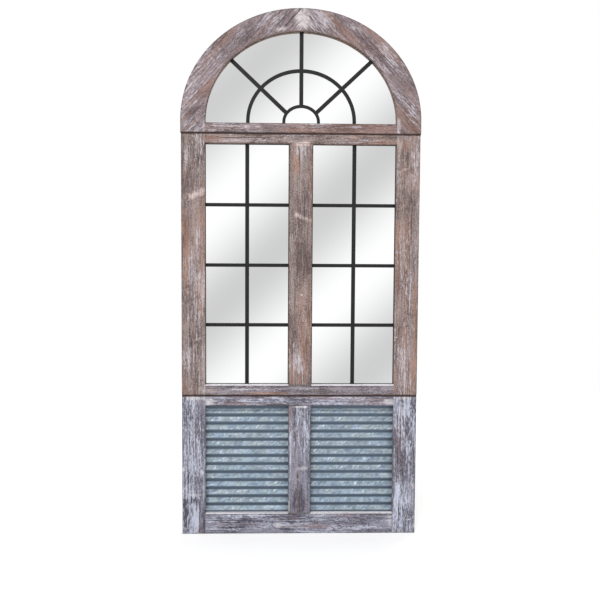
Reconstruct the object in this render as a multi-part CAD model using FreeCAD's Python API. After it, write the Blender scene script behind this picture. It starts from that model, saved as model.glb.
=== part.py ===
"""Arched farmhouse window mirror: three weathered wooden frames stacked one on another.

The top frame is an arch with a fan grille over a half-round mirror, the middle frame holds
two tall mirrors behind window grilles, and the lower frame holds two panels of corrugated
galvanised steel. The mirror hangs on a wall by two ring hangers on its back.

Millimetres. +X is the viewer's right, +Z is up, and the viewer stands on the -Y side.
The backs of the boards are the plane Y = 0 and the wall is at Y = bumper_height.
Z = 0 is the hinge axis of the two hanger rings, so the origin is on the back of the
centre stile, midway between the hangers.
"""
import FreeCAD, Part
import math
import os

V = FreeCAD.Vector

# Overall heights
lower_frame_height = 487.0
middle_frame_height = 897.0
arch_rise = 374.0               # top of the arch above its springing line
arch_leg = 43.0                 # straight leg of the arch below its springing line

# Boards
wood_thickness = 30.0
frame_width = 813.0             # middle and lower frames
arch_width = 817.0
stile_width = 80.0
lower_centre_stile_width = 78.0
arch_crown_width = 74.0         # arch board, measured at the top
arch_rail_height = 35.0
middle_top_rail_height = 34.0
middle_bottom_rail_height = 38.0
lower_top_rail_height = 35.0
lower_bottom_rail_height = 73.0
edge_round = 1.5                # worn front edges
sill_chamfer = 3.0              # on the bottom rails, in front of each opening

# Pocket cut in the back of the frames round each opening
rabbet_width = 10.0
shoulder_depth = 17.5           # wood left in front of the pocket
pane_clearance = 1.0            # between a pane and its pocket

# Grilles, made of flat bar
bar_thickness = 3.0
rim_bar_width = 11.0
fan_rim_width = 8.0             # narrow enough to stay hidden behind the arch
upright_width = 13.5
crossbar_width = 12.0
bar_edge_round = 0.5
window_rows = 4                 # panes above one another in each tall window

# Fan grille in the arch
fan_centre_drop = 18.0          # where the spokes aim, below the springing line
fan_spoke_angle = 43.0          # outer spokes, up from level
outer_hoop_half_width = 181.5   # to the middle of the hoop's bar
outer_hoop_rise = 170.0
outer_hoop_bar = 12.0
inner_hoop_half_width = 59.0
inner_hoop_rise = 51.5
inner_hoop_bar = 10.5

# Panes behind the frames
glass_thickness = 3.0
backing_thickness = 3.0

# Corrugated panels
sheet_thickness = 0.5
ridge_pitch = 28.7
ridge_depth = 7.0               # middle of the sheet, crest to valley
first_crest_drop = 0.8          # below the top of the opening

# Glazing points that hold the backing boards
point_thickness = 0.5
point_width = 8.0
point_length = 14.0
point_in_wood = 5.0
arch_curve_points = 7           # how many along the arch, and on each side and end of a pocket
arch_sill_points = 4
window_side_points = 4
window_end_points = 1
panel_side_points = 2
panel_end_points = 1

# Dowels in the frame joints
dowel_diameter = 8.0
dowel_length = 36.0
dowel_side_clearance = 0.05
dowel_end_clearance = 0.5
stile_dowel_spacing = 40.0
mitre_dowel_spacing = 30.0
rail_dowel_shares = (0.25, 0.75)    # of the rail's height

# Mending plates across the seams, and their screws
plate_width = 20.0
plate_length = 100.0
plate_thickness = 2.0
plate_corner_round = 4.0
plate_hole_offsets = (15.0, 40.0)

screw_radius = 2.0
screw_depth = 13.0              # in the wood
screw_head_radius = 3.8
screw_head_height = 2.0
screw_head_round = 1.0

# Ring hangers
hanger_drop = 139.0             # top of the middle frame to the rings' hinge axis
hanger_inset = 40.0             # side of the frame to the middle of a hanger
strap_width = 16.0
strap_thickness = 1.2
strap_length = 56.0
strap_corner_round = 5.3
strap_hole_drops = (31.0, 47.0)
ring_wire = 3.2
ring_inner_width = 26.0
ring_leg = 6.0
ring_clearance = 0.08           # ring in the eye of its strap
eye_lift = 0.3                  # eye of the strap off the wood

# Rubber bumpers, which set the gap to the wall
bumper_height = 7.0
bumper_radius = 9.0
bumper_edge_round = 1.0
bumper_inset = 24.0             # from the side of the frame
low_bumper_height = 30.0        # above the bottom edge
high_bumper_drop = 84.0         # below the top of the middle frame

# Places worked out from the sizes above
wood_back = 0.0
wood_front = wood_back - wood_thickness
wall = wood_back + bumper_height
pocket_front = wood_front + shoulder_depth
glass_front = pocket_front + bar_thickness
mirror_backing_front = glass_front + glass_thickness
dowel_y = wood_front + shoulder_depth / 2.0

middle_top = hanger_drop
middle_bottom = middle_top - middle_frame_height
lower_top = middle_bottom
bottom = lower_top - lower_frame_height
arch_bottom = middle_top
springing = arch_bottom + arch_leg
arch_rail_top = arch_bottom + arch_rail_height

half_frame = frame_width / 2.0
half_arch = arch_width / 2.0
half_opening = half_frame - stile_width
half_centre = stile_width / 2.0
half_lower_centre = lower_centre_stile_width / 2.0
inner_arch_rise = arch_rise - arch_crown_width
pane_edge = rabbet_width - pane_clearance

middle_opening_bottom = middle_bottom + middle_bottom_rail_height
middle_opening_top = middle_top - middle_top_rail_height
lower_opening_bottom = bottom + lower_bottom_rail_height
lower_opening_top = lower_top - lower_top_rail_height

# Each opening is (low x, high x, low z, high z)
left_window = (-half_opening, -half_centre, middle_opening_bottom, middle_opening_top)
right_window = (half_centre, half_opening, middle_opening_bottom, middle_opening_top)
left_lower = (-half_opening, -half_lower_centre, lower_opening_bottom, lower_opening_top)
right_lower = (half_lower_centre, half_opening, lower_opening_bottom, lower_opening_top)


# ---------------------------------------------------------------- basic shapes

def block(x0, x1, y0, y1, z0, z1):
    return Part.makeBox(x1 - x0, y1 - y0, z1 - z0, V(x0, y0, z0))


def rod_y(radius, x, z, y0, y1):
    return Part.makeCylinder(radius, y1 - y0, V(x, y0, z), V(0, 1, 0))


def rod_x(radius, x0, x1, y, z):
    return Part.makeCylinder(radius, x1 - x0, V(x0, y, z), V(1, 0, 0))


def rod_z(radius, x, y, z0, z1):
    return Part.makeCylinder(radius, z1 - z0, V(x, y, z0), V(0, 0, 1))


def front_edges(solid, y):
    return [e for e in solid.Edges if all(abs(v.Point.y - y) < 1e-6 for v in e.Vertexes)]


def board(x0, x1, z0, z1, free_sides):
    """Board whose front edges are worn round on its free sides, not where it butts another."""
    raw = block(x0, x1, wood_front, wood_back, z0, z1)
    middle_x = (x0 + x1) / 2.0
    middle_z = (z0 + z1) / 2.0
    places = {"left": V(x0, wood_front, middle_z), "right": V(x1, wood_front, middle_z),
              "top": V(middle_x, wood_front, z1), "bottom": V(middle_x, wood_front, z0)}
    edges = [e for e in front_edges(raw, wood_front)
             for side in free_sides if (e.CenterOfMass - places[side]).Length < 1e-6]
    return raw.makeFillet(edge_round, edges)


def sill_wedge(opening):
    """What the chamfer takes off the rail under an opening."""
    x0, x1, z0, z1 = opening
    corner = V(x0, wood_front, z0)
    below = corner - V(0, 0, sill_chamfer)
    behind = corner + V(0, sill_chamfer, 0)
    end = Part.Face(Part.makePolygon([below, corner, behind, below]))
    return end.extrude(V(x1 - x0, 0, 0))


def bottom_rail(z0, openings):
    """Rail with a chamfer in front of each of the openings that stand on it."""
    raw = board(-half_opening, half_opening, z0, openings[0][2], ("top", "bottom"))
    return raw.cut([sill_wedge(opening) for opening in openings])


def flat_bar(x0, x1, z0, z1):
    raw = block(x0, x1, pocket_front, glass_front, z0, z1)
    return raw.makeFillet(bar_edge_round, front_edges(raw, pocket_front))


def grown(opening, amount):
    x0, x1, z0, z1 = opening
    return (x0 - amount, x1 + amount, z0 - amount, z1 + amount)


def arch_curve(half_width, rise, y):
    """Upper half of an ellipse about the middle of the springing line."""
    centre = V(0, y, springing)
    side = V(half_width, 0, 0)
    up = V(0, 0, rise)
    # An ellipse is made from its longer axis and counts its angle from that axis
    if half_width >= rise:
        ellipse = Part.Ellipse(centre + side, centre + up, centre)
        return Part.Arc(ellipse, 0, math.pi).toShape()
    ellipse = Part.Ellipse(centre + up, centre - side, centre)
    return Part.Arc(ellipse, -math.pi / 2.0, math.pi / 2.0).toShape()


def arch_prism(half_width, rise, foot, y0, y1):
    """Solid arch: half an ellipse on straight legs that end at the height foot."""
    curve = arch_curve(half_width, rise, y0)
    right = V(half_width, y0, springing)
    left = V(-half_width, y0, springing)
    low_right = V(half_width, y0, foot)
    low_left = V(-half_width, y0, foot)
    edges = [curve,
             Part.makeLine(left, low_left),
             Part.makeLine(low_left, low_right),
             Part.makeLine(low_right, right)]
    face = Part.Face(Part.Wire(Part.__sortEdges__(edges)))
    return face.extrude(V(0, y1 - y0, 0))


# ---------------------------------------------------------------- small parts

def screw(x, z, y_seat):
    """Pan-head screw driven towards the front, its head on the plane y_seat."""
    shank = rod_y(screw_radius, x, z, wood_back - screw_depth, y_seat)
    head = rod_y(screw_head_radius, x, z, y_seat, y_seat + screw_head_height)
    rim = [e for e in head.Edges if abs(e.BoundBox.YMin - y_seat - screw_head_height) < 1e-6
           and abs(e.BoundBox.YLength) < 1e-6]
    head = head.makeFillet(screw_head_round, rim)
    return shank.fuse(head).removeSplitter()


def dowel(joint, axis):
    """Dowel centred on the point joint, and the hole that takes it."""
    half = dowel_length / 2.0
    hole_half = half + dowel_end_clearance
    radius = dowel_diameter / 2.0
    hole_radius = radius + dowel_side_clearance
    pin = Part.makeCylinder(radius, dowel_length, joint - axis * half, axis)
    hole = Part.makeCylinder(hole_radius, 2 * hole_half, joint - axis * hole_half, axis)
    return pin, hole


def dowel_group(joints, axis):
    pairs = [dowel(joint, axis) for joint in joints]
    return [pin for pin, hole in pairs], [hole for pin, hole in pairs]


def rail_end_joints(z0, z1, half_width):
    """Two dowel centres at each end of a rail."""
    heights = [z0 + (z1 - z0) * share for share in rail_dowel_shares]
    return [V(side * half_width, dowel_y, z) for side in (-1, 1) for z in heights]


def stile_end_joints(z):
    return [V(side * stile_dowel_spacing / 2.0, dowel_y, z) for side in (-1, 1)]


def glazing_point(x, z, outward, y0):
    """Flat steel point on a backing board, driven outward into the pocket's wall at (x, z)."""
    tab = Part.makeBox(point_length, point_thickness, point_width,
                       V(-(point_length - point_in_wood), 0, -point_width / 2.0))
    angle = -math.degrees(math.atan2(outward.z, outward.x))
    tab.rotate(V(0, 0, 0), V(0, 1, 0), angle)
    tab.translate(V(x, y0, z))
    return tab


def rectangle_points(opening, y0, side_count, end_count):
    """Glazing points round a rectangular pocket, evenly spaced along each side."""
    x0, x1, z0, z1 = grown(opening, rabbet_width)
    points = []
    for i in range(side_count):
        z = z0 + (z1 - z0) * (i + 0.5) / side_count
        points.append(glazing_point(x0, z, V(-1, 0, 0), y0))
        points.append(glazing_point(x1, z, V(1, 0, 0), y0))
    for i in range(end_count):
        x = x0 + (x1 - x0) * (i + 0.5) / end_count
        points.append(glazing_point(x, z0, V(0, 0, -1), y0))
        points.append(glazing_point(x, z1, V(0, 0, 1), y0))
    return points


def arch_points(y0):
    half_width = half_opening + rabbet_width
    rise = inner_arch_rise + rabbet_width
    points = []
    for i in range(arch_curve_points):
        t = math.pi * (i + 0.5) / arch_curve_points
        x = half_width * math.cos(t)
        z = springing + rise * math.sin(t)
        outward = V(math.cos(t) / half_width, 0, math.sin(t) / rise)
        points.append(glazing_point(x, z, outward, y0))
    for i in range(arch_sill_points):
        x = half_width * (2 * (i + 0.5) / arch_sill_points - 1)
        points.append(glazing_point(x, arch_rail_top - rabbet_width, V(0, 0, -1), y0))
    return points


# ---------------------------------------------------------------- grilles

def window_grille(opening):
    """Uprights and crossbars of one tall window's grille, behind the frame's shoulder."""
    x0, x1, z0, z1 = grown(opening, pane_edge)
    inner_x0 = x0 + rim_bar_width
    inner_x1 = x1 - rim_bar_width
    inner_z0 = z0 + rim_bar_width
    inner_z1 = z1 - rim_bar_width
    middle = (x0 + x1) / 2.0
    half = upright_width / 2.0
    uprights = [flat_bar(x0, inner_x0, z0, z1),
                flat_bar(middle - half, middle + half, inner_z0, inner_z1),
                flat_bar(inner_x1, x1, z0, z1)]
    crossbars = [flat_bar(inner_x0, inner_x1, z0, inner_z0),
                 flat_bar(inner_x0, inner_x1, inner_z1, z1)]
    opening_z0, opening_z1 = opening[2], opening[3]
    for row in range(1, window_rows):
        z = opening_z0 + (opening_z1 - opening_z0) * row / window_rows
        low = z - crossbar_width / 2.0
        high = z + crossbar_width / 2.0
        crossbars.append(flat_bar(inner_x0, middle - half, low, high))
        crossbars.append(flat_bar(middle + half, inner_x1, low, high))
    return uprights, crossbars


def spoke(angle, reach):
    """Straight bar from the fan's centre, the given angle up from +X."""
    half = upright_width / 2.0
    bar = block(0, reach, pocket_front, glass_front, -half, half)
    bar.rotate(V(0, 0, 0), V(0, 1, 0), -angle)
    bar.translate(V(0, 0, springing - fan_centre_drop))
    return bar


def hoop_prism(half_width, rise, bar, side):
    """Outer (side 1) or inner (side -1) outline of a hoop of the given bar width."""
    grow = side * bar / 2.0
    return arch_prism(half_width + grow, rise + grow, arch_rail_top - rabbet_width,
                      pocket_front, glass_front)


def fan_grille():
    # The rim ends this far inside the opening, or outside it where this is negative
    rim_showing = fan_rim_width - pane_edge
    sill_bottom = arch_rail_top - pane_edge
    sill_top = arch_rail_top + rim_showing
    rim_outside = arch_prism(half_opening + pane_edge, inner_arch_rise + pane_edge,
                             sill_bottom, pocket_front, glass_front)
    rim_inside = arch_prism(half_opening - rim_showing, inner_arch_rise - rim_showing,
                            sill_bottom, pocket_front, glass_front)
    far = arch_width
    above_sill = block(-far, far, pocket_front, glass_front, sill_top, sill_top + far)
    field = rim_inside.common(above_sill)

    small_disc = hoop_prism(inner_hoop_half_width, inner_hoop_rise, inner_hoop_bar, 1)
    angles = {"fan_left_spoke": 180 - fan_spoke_angle,
              "fan_centre_spoke": 90,
              "fan_right_spoke": fan_spoke_angle}
    spokes = {}
    for name, angle in angles.items():
        spokes[name] = spoke(angle, far).common(field).cut(small_disc)

    outer_hoop = hoop_prism(outer_hoop_half_width, outer_hoop_rise, outer_hoop_bar, 1)
    outer_hoop = outer_hoop.cut(
        hoop_prism(outer_hoop_half_width, outer_hoop_rise, outer_hoop_bar, -1))
    outer_hoop = outer_hoop.common(above_sill)
    for bar in spokes.values():
        outer_hoop = outer_hoop.cut(bar)

    inner_hoop = small_disc.cut(
        hoop_prism(inner_hoop_half_width, inner_hoop_rise, inner_hoop_bar, -1))
    inner_hoop = inner_hoop.common(above_sill)

    rim = rim_outside.cut(rim_inside)
    right_side = block(0, far, pocket_front, glass_front, bottom, springing + far)
    rim_halves = [rim.common(right_side), rim.cut(right_side)]
    half_sill = half_opening - rim_showing
    sill_bar = flat_bar(-half_sill, half_sill, sill_bottom, sill_top)

    nodes = {"fan_rim": rim_halves,
             "fan_sill_bar": [sill_bar],
             "fan_outer_hoop": outer_hoop.Solids,
             "fan_inner_hoop": inner_hoop.Solids}
    for name, bar in spokes.items():
        nodes[name] = [bar]
    return nodes


# ---------------------------------------------------------------- panes and panels

def pane(opening, y0, thickness):
    x0, x1, z0, z1 = grown(opening, pane_edge)
    return block(x0, x1, y0, y0 + thickness, z0, z1)


def arch_pane(y0, thickness):
    return arch_prism(half_opening + pane_edge, inner_arch_rise + pane_edge,
                      arch_rail_top - pane_edge, y0, y0 + thickness)


def corrugated_panel(opening):
    """Sheet of equal arcs that swing in front of and behind its middle plane."""
    x0, x1, z0, z1 = grown(opening, pane_edge)
    half_wave = ridge_pitch / 2.0
    rise = ridge_depth / 2.0
    radius = (half_wave ** 2 / 4.0 + rise ** 2) / (2.0 * rise)
    mid_y = pocket_front + rise + sheet_thickness / 2.0
    first_crest = opening[3] - first_crest_drop
    top_crest = first_crest + math.ceil((z1 - first_crest) / ridge_pitch) * ridge_pitch
    half_waves = 2 * math.ceil((top_crest - z0) / ridge_pitch) + 1
    edges = []
    for i in range(half_waves):
        # side -1 bulges to the viewer, side 1 to the wall
        side = -1 if i % 2 == 0 else 1
        centre = V(x0, mid_y + side * (rise - radius), top_crest - i * half_wave)
        edges.append(wave_arc(centre, radius + sheet_thickness / 2.0, radius, half_wave, side))
        edges.append(wave_arc(centre, radius - sheet_thickness / 2.0, radius, half_wave, side))
    # The arcs are joined up by the sheet's two cut ends
    top_edges = edges[0], edges[1]
    low_edges = edges[-2], edges[-1]
    top_ends = [max(e.Vertexes, key=lambda v: v.Z).Point for e in top_edges]
    low_ends = [min(e.Vertexes, key=lambda v: v.Z).Point for e in low_edges]
    edges.append(Part.makeLine(*top_ends))
    edges.append(Part.makeLine(*low_ends))
    section = Part.Face(Part.Wire(Part.__sortEdges__(edges)))
    sheet = section.extrude(V(x1 - x0, 0, 0))
    return sheet.common(block(x0, x1, pocket_front - 1, wood_back, z0, z1))


def wave_arc(centre, radius, middle_radius, half_wave, side):
    """Arc of one half wave, on one skin of the sheet."""
    lean = math.asin(half_wave / 2.0 / middle_radius)
    points = [centre + V(0, side * radius * math.cos(angle), radius * math.sin(angle))
              for angle in (-lean, 0, lean)]
    return Part.Arc(*points).toShape()


# ---------------------------------------------------------------- hardware on the back

def seam_plate(x, seam):
    half = plate_length / 2.0
    plate = block(x - plate_width / 2.0, x + plate_width / 2.0,
                  wood_back, wood_back + plate_thickness, seam - half, seam + half)
    upright_edges = [e for e in plate.Edges if e.BoundBox.YLength > plate_thickness / 2.0]
    plate = plate.makeFillet(plate_corner_round, upright_edges)
    for z in seam_hole_heights(seam):
        plate = plate.cut(rod_y(screw_radius, x, z, wood_back, wood_back + plate_thickness))
    return plate


def seam_hole_heights(seam):
    return [seam + side * offset for side in (-1, 1) for offset in plate_hole_offsets]


def hanger_axis_y():
    return wood_back + eye_lift + ring_wire / 2.0 + ring_clearance + strap_thickness


def hanger_strap(x):
    """Steel strap: a flat leaf on the wood, rolled into an eye round the ring at Z = 0."""
    y = hanger_axis_y()
    eye_radius = ring_wire / 2.0 + ring_clearance
    half = strap_width / 2.0
    leaf = block(x - half, x + half, wood_back, wood_back + strap_thickness, -strap_length, 0)
    corners = [e for e in leaf.Edges if e.BoundBox.YLength > strap_thickness / 2.0
               and e.BoundBox.ZMax < -strap_length / 2.0]
    leaf = leaf.makeFillet(strap_corner_round, corners)
    strap = leaf.fuse(rod_x(eye_radius + strap_thickness, x - half, x + half, y, 0))
    strap = strap.cut(rod_x(eye_radius, x - half, x + half, y, 0))
    for drop in strap_hole_drops:
        strap = strap.cut(rod_y(screw_radius, x, -drop, wood_back, wood_back + strap_thickness))
    return strap.removeSplitter()


def hanger_ring(x):
    """Wire ring: a straight side through the eye, two legs and a half-round bow."""
    y = hanger_axis_y()
    r = ring_wire / 2.0
    reach = ring_inner_width / 2.0 + r
    leg_end = -(ring_leg + r)
    bar = rod_x(r, x - reach, x + reach, y, 0)
    ring = bar
    for side in (-1, 1):
        leg_x = x + side * reach
        ring = ring.fuse(Part.makeSphere(r, V(leg_x, y, 0)))
        ring = ring.fuse(rod_z(r, leg_x, y, leg_end, 0))
    start = Part.Wire(Part.makeCircle(r, V(x + reach, y, leg_end), V(0, 0, 1)))
    bow = Part.Face(start).revolve(V(x, y, leg_end), V(0, 1, 0), 180)
    return ring.fuse(bow).removeSplitter()


def bumper(x, z):
    solid = rod_y(bumper_radius, x, z, wood_back, wall)
    rim = [e for e in solid.Edges if e.BoundBox.YMin > wall - 1e-6]
    return solid.makeFillet(bumper_edge_round, rim)


# ---------------------------------------------------------------- whole mirror

def arch_boards():
    outside = arch_prism(half_arch, arch_rise, arch_bottom, wood_front, wood_back)
    inside = arch_prism(half_opening, inner_arch_rise, arch_bottom, wood_front, wood_back)
    ring = outside.cut(inside)
    right_side = block(0, arch_width, wood_front, wood_back, arch_bottom, springing + arch_width)
    right = ring.common(right_side)
    outer_edges = [e for e in front_edges(right, wood_front)
                   if max(v.Point.x for v in e.Vertexes) > half_opening + edge_round]
    right = right.makeFillet(edge_round, outer_edges)
    left = right.mirror(V(0, 0, 0), V(1, 0, 0))
    return left, right


def cut_all(solid, tools):
    """Cuts away only the tools that reach the solid."""
    box = solid.BoundBox
    near = [tool for tool in tools if tool.BoundBox.intersect(box)]
    if near:
        solid = solid.cut(near)
    return solid


def build():
    nodes = {}
    mirror_point_y = mirror_backing_front + backing_thickness
    panel_backing_front = pocket_front + ridge_depth + sheet_thickness
    panel_point_y = panel_backing_front + backing_thickness

    # Panes, grilles and panels
    nodes.update(fan_grille())
    nodes["arch_mirror"] = [arch_pane(glass_front, glass_thickness)]
    nodes["arch_backing_board"] = [arch_pane(mirror_backing_front, backing_thickness)]
    for side, opening in (("left", left_window), ("right", right_window)):
        uprights, crossbars = window_grille(opening)
        nodes[side + "_window_uprights"] = uprights
        nodes[side + "_window_crossbars"] = crossbars
        nodes[side + "_mirror"] = [pane(opening, glass_front, glass_thickness)]
        nodes[side + "_backing_board"] = [pane(opening, mirror_backing_front, backing_thickness)]
    for side, opening in (("left", left_lower), ("right", right_lower)):
        nodes[side + "_corrugated_panel"] = [corrugated_panel(opening)]
        nodes[side + "_panel_backing"] = [pane(opening, panel_backing_front, backing_thickness)]

    # Glazing points
    nodes["arch_glazing_points"] = arch_points(mirror_point_y)
    nodes["window_glazing_points"] = [
        point for opening in (left_window, right_window)
        for point in rectangle_points(opening, mirror_point_y,
                                      window_side_points, window_end_points)]
    nodes["panel_glazing_points"] = [
        point for opening in (left_lower, right_lower)
        for point in rectangle_points(opening, panel_point_y,
                                      panel_side_points, panel_end_points)]

    # Dowels
    crown_middle = springing + arch_rise - arch_crown_width / 2.0
    mitre_joints = [V(0, dowel_y, crown_middle + side * mitre_dowel_spacing / 2.0)
                    for side in (-1, 1)]
    along_x = V(1, 0, 0)
    along_z = V(0, 0, 1)
    dowels = {
        "arch_dowels": [
            (rail_end_joints(arch_bottom, arch_rail_top, half_opening) + mitre_joints, along_x)],
        "middle_frame_dowels": [
            (rail_end_joints(middle_bottom, middle_opening_bottom, half_opening)
             + rail_end_joints(middle_opening_top, middle_top, half_opening), along_x),
            (stile_end_joints(middle_opening_bottom)
             + stile_end_joints(middle_opening_top), along_z)],
        "lower_frame_dowels": [
            (rail_end_joints(bottom, lower_opening_bottom, half_opening)
             + rail_end_joints(lower_opening_top, lower_top, half_opening), along_x),
            (stile_end_joints(lower_opening_bottom)
             + stile_end_joints(lower_opening_top), along_z)],
    }
    dowel_holes = []
    for name, groups in dowels.items():
        nodes[name] = []
        for joints, axis in groups:
            pins, holes = dowel_group(joints, axis)
            nodes[name] += pins
            dowel_holes += holes

    # Mending plates, hangers and bumpers
    side_x = half_frame - hanger_inset
    upper_seam = middle_top
    lower_seam = middle_bottom
    upper_plates = [(-side_x, upper_seam), (side_x, upper_seam)]
    lower_plates = [(-side_x, lower_seam), (side_x, lower_seam)]
    nodes["upper_seam_plates"] = [seam_plate(x, seam) for x, seam in upper_plates]
    nodes["lower_seam_plates"] = [seam_plate(x, seam) for x, seam in lower_plates]
    nodes["seam_plate_screws"] = [screw(x, z, wood_back + plate_thickness)
                                  for x, seam in upper_plates + lower_plates
                                  for z in seam_hole_heights(seam)]
    for side, x in (("left", -side_x), ("right", side_x)):
        nodes[side + "_hanger_strap"] = [hanger_strap(x)]
        nodes[side + "_hanger_ring"] = [hanger_ring(x)]
    nodes["hanger_screws"] = [screw(x, -drop, wood_back + strap_thickness)
                              for x in (-side_x, side_x) for drop in strap_hole_drops]
    bumper_x = half_frame - bumper_inset
    bumper_heights = (bottom + low_bumper_height, middle_top - high_bumper_drop)
    nodes["wall_bumpers"] = [bumper(side * bumper_x, z)
                             for side in (-1, 1) for z in bumper_heights]

    # Pockets and holes, then the boards that they are cut in
    cutters = dowel_holes
    cutters.append(arch_prism(half_opening + rabbet_width, inner_arch_rise + rabbet_width,
                              arch_rail_top - rabbet_width, pocket_front, wood_back))
    for opening in (left_window, right_window, left_lower, right_lower):
        x0, x1, z0, z1 = grown(opening, rabbet_width)
        cutters.append(block(x0, x1, pocket_front, wood_back, z0, z1))
    for name in ("arch_glazing_points", "window_glazing_points", "panel_glazing_points",
                 "seam_plate_screws", "hanger_screws"):
        cutters += nodes[name]

    arch_left, arch_right = arch_boards()
    rail_sides = ("top", "bottom")
    boards = {
        "arch_left_board": arch_left,
        "arch_right_board": arch_right,
        "arch_rail": board(-half_opening, half_opening, arch_bottom, arch_rail_top, rail_sides),
        "middle_left_stile": board(-half_frame, -half_opening, middle_bottom, middle_top,
                                   ("left", "top", "bottom")),
        "middle_right_stile": board(half_opening, half_frame, middle_bottom, middle_top,
                                    ("right", "top", "bottom")),
        "middle_centre_stile": board(-half_centre, half_centre, middle_opening_bottom,
                                     middle_opening_top, ("left", "right")),
        "middle_top_rail": board(-half_opening, half_opening, middle_opening_top, middle_top,
                                 rail_sides),
        "middle_bottom_rail": bottom_rail(middle_bottom, (left_window, right_window)),
        "lower_left_stile": board(-half_frame, -half_opening, bottom, lower_top,
                                  ("left", "top", "bottom")),
        "lower_right_stile": board(half_opening, half_frame, bottom, lower_top,
                                   ("right", "top", "bottom")),
        "lower_centre_stile": board(-half_lower_centre, half_lower_centre, lower_opening_bottom,
                                    lower_opening_top, ("left", "right")),
        "lower_top_rail": board(-half_opening, half_opening, lower_opening_top, lower_top,
                                rail_sides),
        "lower_bottom_rail": bottom_rail(bottom, (left_lower, right_lower)),
    }
    for name, raw in boards.items():
        nodes[name] = [cut_all(raw, cutters)]
    return nodes


def write(nodes):
    os.makedirs("parts", exist_ok=True)
    for name, shapes in sorted(nodes.items()):
        solids = [solid for shape in shapes for solid in shape.Solids]
        shape = solids[0] if len(solids) == 1 else Part.makeCompound(solids)
        shape.exportStep(os.path.join("parts", name + ".step"))
        print("%-24s %2d solids  %10.1f mm3  valid %s"
              % (name, len(solids), shape.Volume, shape.isValid()))


write(build())
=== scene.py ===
import bmesh
import bpy
import math
from mathutils import Euler, Matrix, Vector


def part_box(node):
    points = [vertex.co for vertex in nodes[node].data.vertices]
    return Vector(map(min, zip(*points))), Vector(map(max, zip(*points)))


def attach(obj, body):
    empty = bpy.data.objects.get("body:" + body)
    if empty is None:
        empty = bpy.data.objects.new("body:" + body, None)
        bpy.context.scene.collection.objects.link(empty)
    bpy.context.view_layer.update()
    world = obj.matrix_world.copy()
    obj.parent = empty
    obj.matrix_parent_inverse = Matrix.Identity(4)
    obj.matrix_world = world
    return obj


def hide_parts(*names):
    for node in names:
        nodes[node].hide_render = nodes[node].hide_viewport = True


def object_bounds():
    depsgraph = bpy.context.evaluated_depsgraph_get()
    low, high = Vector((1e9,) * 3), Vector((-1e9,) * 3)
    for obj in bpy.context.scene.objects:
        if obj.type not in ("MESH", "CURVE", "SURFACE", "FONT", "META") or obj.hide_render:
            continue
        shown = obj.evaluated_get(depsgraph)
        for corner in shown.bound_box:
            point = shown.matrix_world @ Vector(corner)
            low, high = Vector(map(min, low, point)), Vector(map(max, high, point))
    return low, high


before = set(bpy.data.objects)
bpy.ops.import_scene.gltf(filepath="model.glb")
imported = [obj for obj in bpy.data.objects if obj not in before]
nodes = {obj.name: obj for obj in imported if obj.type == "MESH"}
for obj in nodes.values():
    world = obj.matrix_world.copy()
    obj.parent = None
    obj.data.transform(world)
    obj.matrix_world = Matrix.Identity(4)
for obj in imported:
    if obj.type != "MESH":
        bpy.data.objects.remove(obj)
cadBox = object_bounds()
print("loaded", len(nodes), "nodes")


# small tools for shader trees

def shade(red, green, blue):
    # a colour as read off a screen, as the linear values that a shader takes
    def linear(level):
        level = level / 255
        return level / 12.92 if level <= 0.04045 else ((level + 0.055) / 1.055) ** 2.4
    return (linear(red), linear(green), linear(blue), 1.0)


def addNode(tree, kind, inputs, **settings):
    node = tree.nodes.new(kind)
    for name, value in settings.items():
        setattr(node, name, value)
    for key, value in inputs.items():
        if isinstance(value, bpy.types.NodeSocket):
            tree.links.new(value, node.inputs[key])
        else:
            node.inputs[key].default_value = value
    return node


def calc(tree, operation, *values):
    return addNode(tree, "ShaderNodeMath", dict(enumerate(values)), operation=operation).outputs[0]


def calcVector(tree, operation, *values):
    node = addNode(tree, "ShaderNodeVectorMath", dict(enumerate(values)), operation=operation)
    return node.outputs["Value" if operation in ("LENGTH", "DOT_PRODUCT") else "Vector"]


def spread(tree, value, low, high, outLow=0.0, outHigh=1.0, kind="SMOOTHSTEP"):
    inputs = {"Value": value, "From Min": low, "From Max": high,
              "To Min": outLow, "To Max": outHigh}
    return addNode(tree, "ShaderNodeMapRange", inputs, interpolation_type=kind).outputs["Result"]


def blendColors(tree, mask, first, second, mode="MIX"):
    node = addNode(tree, "ShaderNodeMix", {0: mask, 6: first, 7: second},
                   data_type="RGBA", blend_type=mode)
    return node.outputs[2]


def noise(tree, vector, stretch, detail, rough, output="Fac"):
    # stretch is the pattern's count per metre along each axis
    scaled = calcVector(tree, "MULTIPLY", vector, stretch)
    inputs = {"Vector": scaled, "Scale": 1.0, "Detail": detail, "Roughness": rough}
    return addNode(tree, "ShaderNodeTexNoise", inputs).outputs[output]


def cloud(tree, place, count):
    # soft even blotches, count of them per metre
    return noise(tree, place, (count, count, count), 3.0, 0.6)


def weigh(tree, *pairs):
    total = 0.0
    for value, weight in pairs:
        total = calc(tree, "MULTIPLY_ADD", value, weight, total)
    return total


def swing(tree, *pairs):
    # adds up noises so that the sum still swings about a half
    middle = (1.0 - sum(weight for value, weight in pairs)) / 2
    return calc(tree, "ADD", weigh(tree, *pairs), middle)


def widen(tree, value, contrast):
    # makes the swing about a half wider or narrower
    return calc(tree, "MULTIPLY_ADD", calc(tree, "SUBTRACT", value, 0.5), contrast, 0.5)


def startGroup(name, inputs, outputs):
    tree = bpy.data.node_groups.new(name, "ShaderNodeTree")
    for label, kind in inputs:
        tree.interface.new_socket(name=label, in_out="INPUT", socket_type="NodeSocket" + kind)
    for label, kind in outputs:
        tree.interface.new_socket(name=label, in_out="OUTPUT", socket_type="NodeSocket" + kind)
    entry = tree.nodes.new("NodeGroupInput").outputs
    leave = tree.nodes.new("NodeGroupOutput").inputs
    return tree, entry, leave


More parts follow.
